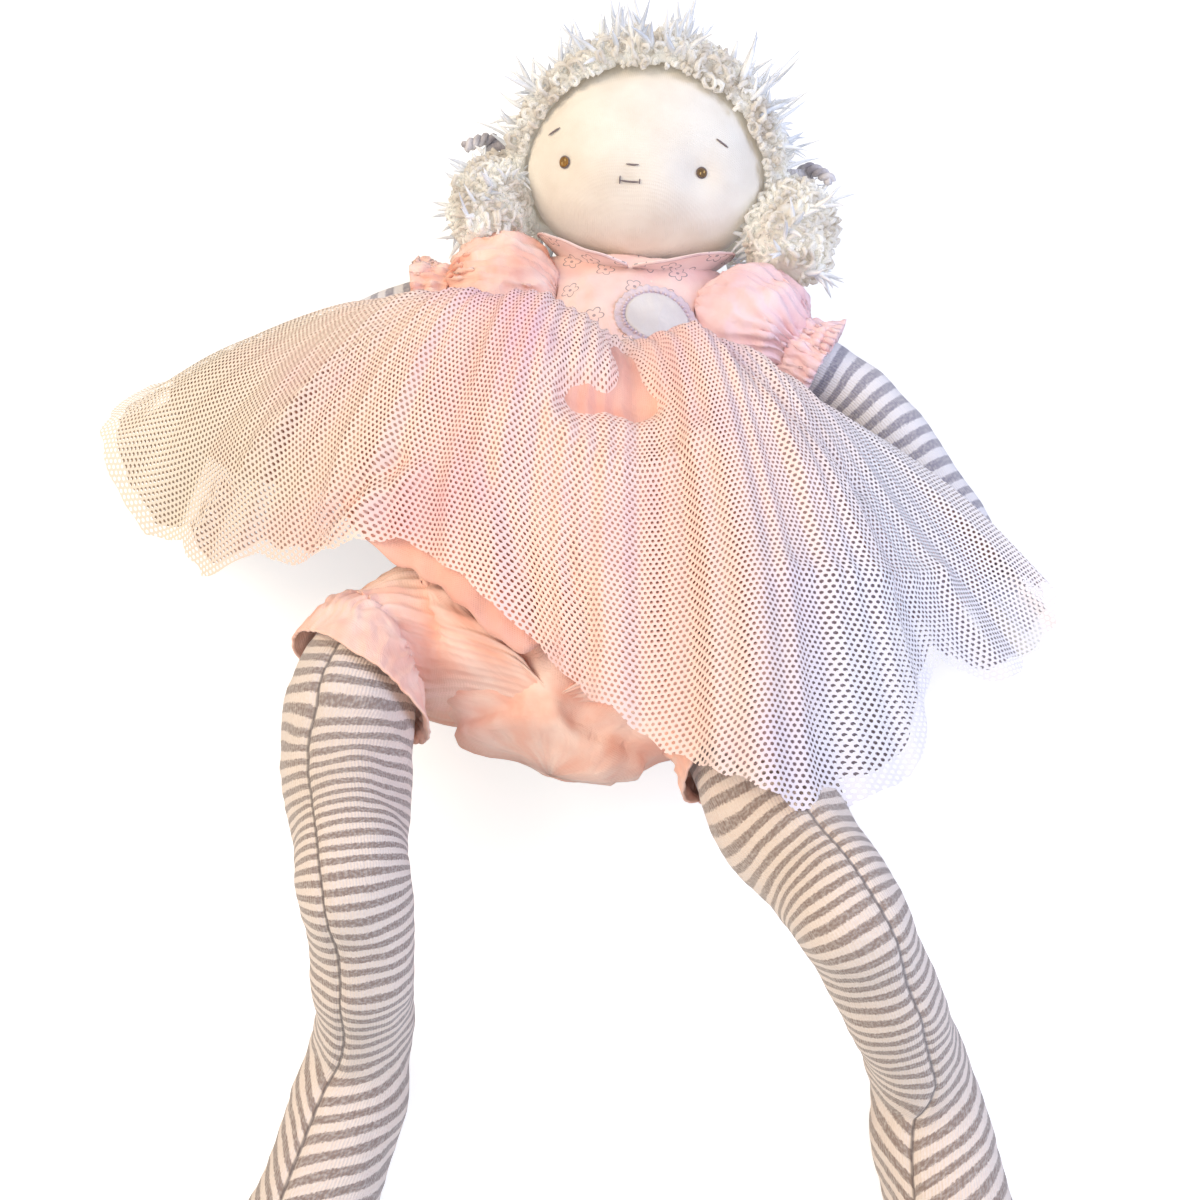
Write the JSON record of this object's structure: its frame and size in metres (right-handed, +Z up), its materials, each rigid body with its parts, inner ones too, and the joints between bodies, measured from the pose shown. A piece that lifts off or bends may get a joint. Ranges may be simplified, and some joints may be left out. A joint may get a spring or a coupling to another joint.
{
  "type": "plush doll",
  "caption": "Soft rag doll lying on its back, with yarn hair in side bunches, a puff-sleeved dress with a flaring net skirt, baggy bloomers and long striped legs drawn up at the knees.",
  "frame": {"origin": "middle of the footprint, on the plane that the doll lies on", "axes": "+Z up from that plane, +Y towards the crown of the head, +X towards the doll's own left side"},
  "size_m": [0.3366, 0.431, 0.0986],
  "materials": {
    "calico": "natural cotton calico, matte",
    "boucle": "looped and eyelash yarn",
    "peach_cotton": "printed woven cotton, matte",
    "net": "stiff hexagonal net",
    "striped_jersey": "brushed striped jersey",
    "thread": "embroidery thread",
    "amber_thread": "embroidery thread",
    "badge_felt": "printed woven disc",
    "elastic": "narrow braided elastic",
    "tie_cord": "twisted cord"
  },
  "bodies": {
    "torso": {"torso": "calico", "bodice": "peach_cotton", "waistband": "peach_cotton", "badge": "badge_felt", "badge_frill": "badge_felt", "collar_left": "peach_cotton", "collar_right": "peach_cotton", "bloomers_body": "peach_cotton", "waist_elastic": "elastic", "tulle_outer": "net", "tulle_under": "net", "underskirt": "peach_cotton"},
    "neck": {"neck": "calico"},
    "head": {"head": "calico", "hair_cap": "boucle", "eye_left": "amber_thread", "eye_right": "amber_thread", "brow_left": "thread", "brow_right": "thread", "nose_stitch": "thread", "mouth_stitch": "thread"},
    "bunch_left": {"bunch_left": "boucle", "hair_tie_left": "tie_cord"},
    "arm_left": {"arm_left": "striped_jersey", "sleeve_left": "peach_cotton", "sleeve_elastic_left": "elastic", "sleeve_frill_left": "peach_cotton", "hand_left": "calico"},
    "thigh_left": {"thigh_left": "striped_jersey", "bloomer_leg_left": "peach_cotton", "leg_elastic_left": "elastic", "bloomer_cuff_left": "peach_cotton"},
    "shin_left": {"shin_left": "striped_jersey"},
    "bunch_right": {"bunch_right": "boucle", "hair_tie_right": "tie_cord"},
    "arm_right": {"arm_right": "striped_jersey", "sleeve_right": "peach_cotton", "sleeve_elastic_right": "elastic", "sleeve_frill_right": "peach_cotton", "hand_right": "calico"},
    "thigh_right": {"thigh_right": "striped_jersey", "bloomer_leg_right": "peach_cotton", "leg_elastic_right": "elastic", "bloomer_cuff_right": "peach_cotton"},
    "shin_right": {"shin_right": "striped_jersey"}
  },
  "joints": [
    {"name": "head_nod", "type": "hinge", "parent": "torso", "child": "neck", "pos_m": [0.00717, 0.12546, 0.028], "axis": [1, 0, 0], "range_deg": [-35, 0]},
    {"name": "head_turn", "type": "hinge", "parent": "neck", "child": "head", "pos_m": [0.00717, 0.12546, 0.028], "axis": [0, 0.866, 0.5], "range_deg": [-50, 50]},
    {"name": "bunch_swing_left", "type": "hinge", "parent": "head", "child": "bunch_left", "pos_m": [0.06417, 0.16966, 0.047], "axis": [0, 0, 1], "range_deg": [0, 60]},
    {"name": "bunch_swing_right", "type": "hinge", "parent": "head", "child": "bunch_right", "pos_m": [-0.04983, 0.16966, 0.047], "axis": [0, 0, 1], "range_deg": [-60, 0]},
    {"name": "shoulder_left", "type": "hinge", "parent": "torso", "child": "arm_left", "pos_m": [0.05317, 0.10246, 0.036], "axis": [0, 0, 1], "range_deg": [-15, 42], "deforming": ["tulle_outer", "tulle_under", "underskirt"]},
    {"name": "shoulder_right", "type": "hinge", "parent": "torso", "child": "arm_right", "pos_m": [-0.03883, 0.10246, 0.036], "axis": [0, 0, 1], "range_deg": [-25, 15], "deforming": ["tulle_outer", "tulle_under", "underskirt"]},
    {"name": "hip_left", "type": "hinge", "parent": "torso", "child": "thigh_left", "pos_m": [0.03317, -0.03554, 0.03], "axis": [1, 0, 0], "range_deg": [-50, 38], "deforming": ["tulle_outer", "tulle_under", "underskirt", "bloomers_body"]},
    {"name": "hip_right", "type": "hinge", "parent": "torso", "child": "thigh_right", "pos_m": [-0.01883, -0.03554, 0.03], "axis": [1, 0, 0], "range_deg": [-50, 38], "deforming": ["tulle_outer", "tulle_under", "underskirt", "bloomers_body"]},
    {"name": "knee_left", "type": "hinge", "parent": "thigh_left", "child": "shin_left", "pos_m": [0.08817, -0.11754, 0.082], "axis": [-0.7993, -0.5747, -0.1756], "range_deg": [0, 88]},
    {"name": "knee_right", "type": "hinge", "parent": "thigh_right", "child": "shin_right", "pos_m": [-0.03071, -0.12354, 0.082], "axis": [-0.946, -0.2998, 0.1233], "range_deg": [0, 86]}
  ]
}
